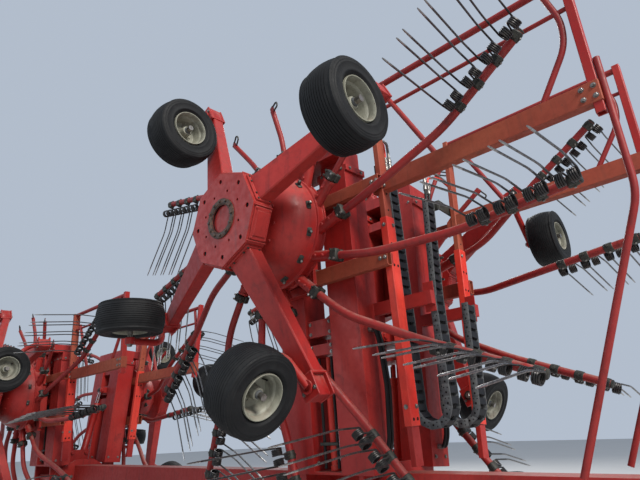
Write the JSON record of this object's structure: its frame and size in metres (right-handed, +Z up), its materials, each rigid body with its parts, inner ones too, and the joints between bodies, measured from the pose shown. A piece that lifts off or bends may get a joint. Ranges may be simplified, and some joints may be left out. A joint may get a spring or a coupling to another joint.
{
  "type": "folded four-rotor rotary rake",
  "caption": "Trailed rotary hay rake folded for the road: tined rotors on telescopic folding booms along a wheeled spine, parked on its jack.",
  "frame": {"origin": "on the ground, at the middle of the overall length and width", "axes": "+X forward to the drawbar, +Y to the left, +Z up"},
  "size_m": [9.2672, 3.0688, 3.8581],
  "materials": {
    "red_paint": "weathered gloss red paint",
    "faded_paint": "red paint faded to orange-brown, chalky",
    "arm_paint": "worn red paint on tubes, with black spring tines",
    "cylinder_paint": "red paint with oil film",
    "rod_chrome": "polished",
    "bare_steel": "zinc plated, dull",
    "tyre": "ribbed rubber, dusty",
    "rim_paint": "cream paint, dirty",
    "chain_plastic": "dusty grey-black",
    "hose_rubber": "black hydraulic hose"
  },
  "bodies": {
    "frame": {"main_frame": "red_paint"},
    "hitch": {"drawbar_head": "red_paint"},
    "jack": {"jack_leg": "bare_steel"},
    "road_wheel_right": {"road_rim_right": "rim_paint", "road_tyre_right": "tyre"},
    "road_wheel_left": {"road_rim_left": "rim_paint", "road_tyre_left": "tyre"},
    "boom_front_right": {"boom_outer_front_right": "red_paint", "hoses_front_right": "hose_rubber"},
    "rotor_carrier_front_right": {"boom_inner_front_right": "red_paint", "guard_frame_front_right": "faded_paint", "wheel_chassis_front_right": "tyre", "energy_chain_front_right": "chain_plastic"},
    "rotor_front_right": {"rotor_bell_front_right": "red_paint", "tine_arms_front_right": "arm_paint"},
    "ram_barrel_front_right": {"ram_barrel_front_right": "cylinder_paint"},
    "ram_rod_front_right": {"ram_rod_front_right": "rod_chrome"},
    "ground_wheel_a_front_right": {"wheel_a_front_right": "tyre"},
    "ground_wheel_b_front_right": {"wheel_b_front_right": "tyre"},
    "ground_wheel_c_front_right": {"wheel_c_front_right": "tyre"},
    "ground_wheel_d_front_right": {"wheel_d_front_right": "tyre"},
    "boom_front_left": {"boom_outer_front_left": "red_paint", "hoses_front_left": "hose_rubber"},
    "rotor_carrier_front_left": {"boom_inner_front_left": "red_paint", "guard_frame_front_left": "faded_paint", "wheel_chassis_front_left": "tyre", "energy_chain_front_left": "chain_plastic"},
    "rotor_front_left": {"rotor_bell_front_left": "red_paint", "tine_arms_front_left": "arm_paint"},
    "ram_barrel_front_left": {"ram_barrel_front_left": "cylinder_paint"},
    "ram_rod_front_left": {"ram_rod_front_left": "rod_chrome"},
    "ground_wheel_a_front_left": {"wheel_a_front_left": "tyre"},
    "ground_wheel_b_front_left": {"wheel_b_front_left": "tyre"},
    "ground_wheel_c_front_left": {"wheel_c_front_left": "tyre"},
    "ground_wheel_d_front_left": {"wheel_d_front_left": "tyre"},
    "boom_rear_right": {"boom_outer_rear_right": "red_paint"},
    "rotor_carrier_rear_right": {"boom_inner_rear_right": "red_paint", "guard_frame_rear_right": "faded_paint", "wheel_chassis_rear_right": "tyre"},
    "rotor_rear_right": {"rotor_bell_rear_right": "red_paint", "tine_arms_rear_right": "arm_paint"},
    "ram_barrel_rear_right": {"ram_barrel_rear_right": "cylinder_paint"},
    "ram_rod_rear_right": {"ram_rod_rear_right": "rod_chrome"},
    "ground_wheel_a_rear_right": {"wheel_a_rear_right": "tyre"},
    "ground_wheel_b_rear_right": {"wheel_b_rear_right": "tyre"},
    "ground_wheel_c_rear_right": {"wheel_c_rear_right": "tyre"},
    "ground_wheel_d_rear_right": {"wheel_d_rear_right": "tyre"},
    "boom_rear_left": {"boom_outer_rear_left": "red_paint"},
    "rotor_carrier_rear_left": {"boom_inner_rear_left": "red_paint", "guard_frame_rear_left": "faded_paint", "wheel_chassis_rear_left": "tyre"},
    "rotor_rear_left": {"rotor_bell_rear_left": "red_paint", "tine_arms_rear_left": "arm_paint"},
    "ram_barrel_rear_left": {"ram_barrel_rear_left": "cylinder_paint"},
    "ram_rod_rear_left": {"ram_rod_rear_left": "rod_chrome"},
    "ground_wheel_a_rear_left": {"wheel_a_rear_left": "tyre"},
    "ground_wheel_b_rear_left": {"wheel_b_rear_left": "tyre"},
    "ground_wheel_c_rear_left": {"wheel_c_rear_left": "tyre"},
    "ground_wheel_d_rear_left": {"wheel_d_rear_left": "tyre"}
  },
  "joints": [
    {"name": "jack", "type": "slide", "parent": "frame", "child": "jack", "axis": [0, 0, 1], "range_m": [0, 0.45]},
    {"name": "drawbar_swing", "type": "hinge", "parent": "frame", "child": "hitch", "pos_m": [4.3886, 0, 1.11], "axis": [0, 0, 1], "range_deg": [-60, 60]},
    {"name": "fold_front_right", "type": "hinge", "parent": "frame", "child": "boom_front_right", "pos_m": [2, -0.3, 1.115], "axis": [1, 0, 0], "range_deg": [0, 87]},
    {"name": "telescope_front_right", "type": "slide", "parent": "boom_front_right", "child": "rotor_carrier_front_right", "axis": [0, -0.0523, 0.9986], "range_m": [0, 1.1]},
    {"name": "rotor_spin_front_right", "type": "hinge", "parent": "rotor_carrier_front_right", "child": "rotor_front_right", "pos_m": [1.9, -1.17527, 2.72139], "axis": [0, 0.9986, 0.0523], "continuous": true},
    {"name": "fold_front_left", "type": "hinge", "parent": "frame", "child": "boom_front_left", "pos_m": [2, 0.3, 1.115], "axis": [-1, 0, 0], "range_deg": [0, 87]},
    {"name": "telescope_front_left", "type": "slide", "parent": "boom_front_left", "child": "rotor_carrier_front_left", "axis": [0, 0.0523, 0.9986], "range_m": [0, 1.1]},
    {"name": "rotor_spin_front_left", "type": "hinge", "parent": "rotor_carrier_front_left", "child": "rotor_front_left", "pos_m": [1.9, 1.17527, 2.72139], "axis": [0, -0.9986, 0.0523], "continuous": true},
    {"name": "fold_rear_right", "type": "hinge", "parent": "frame", "child": "boom_rear_right", "pos_m": [-2.65, -0.3, 1.115], "axis": [1, 0, 0], "range_deg": [0, 87]},
    {"name": "rotor_spin_rear_right", "type": "hinge", "parent": "rotor_carrier_rear_right", "child": "rotor_rear_right", "pos_m": [-2.75, -1.13864, 2.02235], "axis": [0, 0.9986, 0.0523], "continuous": true},
    {"name": "fold_rear_left", "type": "hinge", "parent": "frame", "child": "boom_rear_left", "pos_m": [-2.65, 0.3, 1.115], "axis": [-1, 0, 0], "range_deg": [0, 87]},
    {"name": "rotor_spin_rear_left", "type": "hinge", "parent": "rotor_carrier_rear_left", "child": "rotor_rear_left", "pos_m": [-2.75, 1.13864, 2.02235], "axis": [0, -0.9986, 0.0523], "continuous": true},
    {"name": "road_wheel_right", "type": "hinge", "parent": "frame", "child": "road_wheel_right", "pos_m": [-0.55, -1.05, 0.47], "axis": [0, 1, 0], "continuous": true},
    {"name": "road_wheel_left", "type": "hinge", "parent": "frame", "child": "road_wheel_left", "pos_m": [-0.55, 1.05, 0.47], "axis": [0, 1, 0], "continuous": true},
    {"name": "ground_wheel_a_front_right", "type": "hinge", "parent": "rotor_carrier_front_right", "child": "ground_wheel_a_front_right", "pos_m": [1.602, -1.30672, 3.41446], "axis": [1, 0, 0], "continuous": true},
    {"name": "ground_wheel_b_front_right", "type": "hinge", "parent": "rotor_carrier_front_right", "child": "ground_wheel_b_front_right", "pos_m": [3.007, -1.27972, 2.89917], "axis": [1, 0, 0], "continuous": true},
    {"name": "ground_wheel_c_front_right", "type": "hinge", "parent": "rotor_carrier_front_right", "child": "ground_wheel_c_front_right", "pos_m": [2.264, -1.21571, 1.67785], "axis": [0.9063, 0.0221, -0.422], "continuous": true},
    {"name": "ground_wheel_d_front_right", "type": "hinge", "parent": "rotor_carrier_front_right", "child": "ground_wheel_d_front_right", "pos_m": [0.995, -1.2457, 2.25006], "axis": [0, -0.0523, 0.9986], "continuous": true},
    {"name": "ground_wheel_a_front_left", "type": "hinge", "parent": "rotor_carrier_front_left", "child": "ground_wheel_a_front_left", "pos_m": [1.602, 1.30672, 3.41446], "axis": [1, 0, 0], "continuous": true},
    {"name": "ground_wheel_b_front_left", "type": "hinge", "parent": "rotor_carrier_front_left", "child": "ground_wheel_b_front_left", "pos_m": [3.007, 1.27972, 2.89917], "axis": [1, 0, 0], "continuous": true},
    {"name": "ground_wheel_c_front_left", "type": "hinge", "parent": "rotor_carrier_front_left", "child": "ground_wheel_c_front_left", "pos_m": [2.264, 1.21571, 1.67785], "axis": [0.9063, -0.0221, -0.422], "continuous": true},
    {"name": "ground_wheel_d_front_left", "type": "hinge", "parent": "rotor_carrier_front_left", "child": "ground_wheel_d_front_left", "pos_m": [0.995, 1.2457, 2.25006], "axis": [0, 0.0523, 0.9986], "continuous": true},
    {"name": "ground_wheel_a_rear_right", "type": "hinge", "parent": "rotor_carrier_rear_right", "child": "ground_wheel_a_rear_right", "pos_m": [-3.048, -1.27009, 2.71542], "axis": [1, 0, 0], "continuous": true},
    {"name": "ground_wheel_b_rear_right", "type": "hinge", "parent": "rotor_carrier_rear_right", "child": "ground_wheel_b_rear_right", "pos_m": [-1.643, -1.24308, 2.20013], "axis": [1, 0, 0], "continuous": true},
    {"name": "ground_wheel_c_rear_right", "type": "hinge", "parent": "rotor_carrier_rear_right", "child": "ground_wheel_c_rear_right", "pos_m": [-2.386, -1.17908, 0.97881], "axis": [0.9063, 0.0221, -0.422], "continuous": true},
    {"name": "ground_wheel_d_rear_right", "type": "hinge", "parent": "rotor_carrier_rear_right", "child": "ground_wheel_d_rear_right", "pos_m": [-3.655, -1.20907, 1.55102], "axis": [0, -0.0523, 0.9986], "continuous": true},
    {"name": "ground_wheel_a_rear_left", "type": "hinge", "parent": "rotor_carrier_rear_left", "child": "ground_wheel_a_rear_left", "pos_m": [-3.048, 1.27009, 2.71542], "axis": [1, 0, 0], "continuous": true},
    {"name": "ground_wheel_b_rear_left", "type": "hinge", "parent": "rotor_carrier_rear_left", "child": "ground_wheel_b_rear_left", "pos_m": [-1.643, 1.24308, 2.20013], "axis": [1, 0, 0], "continuous": true},
    {"name": "ground_wheel_c_rear_left", "type": "hinge", "parent": "rotor_carrier_rear_left", "child": "ground_wheel_c_rear_left", "pos_m": [-2.386, 1.17908, 0.97881], "axis": [0.9063, -0.0221, -0.422], "continuous": true},
    {"name": "ground_wheel_d_rear_left", "type": "hinge", "parent": "rotor_carrier_rear_left", "child": "ground_wheel_d_rear_left", "pos_m": [-3.655, 1.20907, 1.55102], "axis": [0, 0.0523, 0.9986], "continuous": true},
    {"name": "ram_turn_front_right", "type": "hinge", "parent": "frame", "child": "ram_barrel_front_right", "pos_m": [2, -0.082, 1.37], "axis": [1, 0, 0], "range_deg": [0, 85.59]},
    {"name": "ram_stroke_front_right", "type": "slide", "parent": "ram_barrel_front_right", "child": "ram_rod_front_right", "axis": [0, -0.1697, 0.9855], "range_m": [0, 0.46133]},
    {"name": "ram_turn_front_left", "type": "hinge", "parent": "frame", "child": "ram_barrel_front_left", "pos_m": [2, 0.082, 1.37], "axis": [-1, 0, 0], "range_deg": [0, 85.59]},
    {"name": "ram_stroke_front_left", "type": "slide", "parent": "ram_barrel_front_left", "child": "ram_rod_front_left", "axis": [0, 0.1697, 0.9855], "range_m": [0, 0.46133]},
    {"name": "telescope_rear_right", "type": "slide", "parent": "boom_rear_right", "child": "rotor_carrier_rear_right", "axis": [0, -0.0523, 0.9986], "range_m": [0, 0.85]},
    {"name": "ram_turn_rear_right", "type": "hinge", "parent": "frame", "child": "ram_barrel_rear_right", "pos_m": [-2.65, -0.082, 1.37], "axis": [1, 0, 0], "range_deg": [0, 85.59]},
    {"name": "ram_stroke_rear_right", "type": "slide", "parent": "ram_barrel_rear_right", "child": "ram_rod_rear_right", "axis": [0, -0.1697, 0.9855], "range_m": [0, 0.46133]},
    {"name": "telescope_rear_left", "type": "slide", "parent": "boom_rear_left", "child": "rotor_carrier_rear_left", "axis": [0, 0.0523, 0.9986], "range_m": [0, 0.85]},
    {"name": "ram_turn_rear_left", "type": "hinge", "parent": "frame", "child": "ram_barrel_rear_left", "pos_m": [-2.65, 0.082, 1.37], "axis": [-1, 0, 0], "range_deg": [0, 85.59]},
    {"name": "ram_stroke_rear_left", "type": "slide", "parent": "ram_barrel_rear_left", "child": "ram_rod_rear_left", "axis": [0, 0.1697, 0.9855], "range_m": [0, 0.46133]}
  ],
  "couplings": [
    {"joint": "ram_turn_front_right", "follows": "fold_front_right", "ratio": 0.98366},
    {"joint": "ram_stroke_front_right", "follows": "fold_front_right", "m_per_rad": 0.30375},
    {"joint": "ram_turn_front_left", "follows": "fold_front_left", "ratio": 0.98366},
    {"joint": "ram_stroke_front_left", "follows": "fold_front_left", "m_per_rad": 0.30375},
    {"joint": "ram_turn_rear_right", "follows": "fold_rear_right", "ratio": 0.98366},
    {"joint": "ram_stroke_rear_right", "follows": "fold_rear_right", "m_per_rad": 0.30375},
    {"joint": "telescope_rear_right", "follows": "fold_rear_right", "m_per_rad": 0.55972},
    {"joint": "ram_turn_rear_left", "follows": "fold_rear_left", "ratio": 0.98366},
    {"joint": "ram_stroke_rear_left", "follows": "fold_rear_left", "m_per_rad": 0.30375},
    {"joint": "telescope_rear_left", "follows": "fold_rear_left", "m_per_rad": 0.55972}
  ]
}
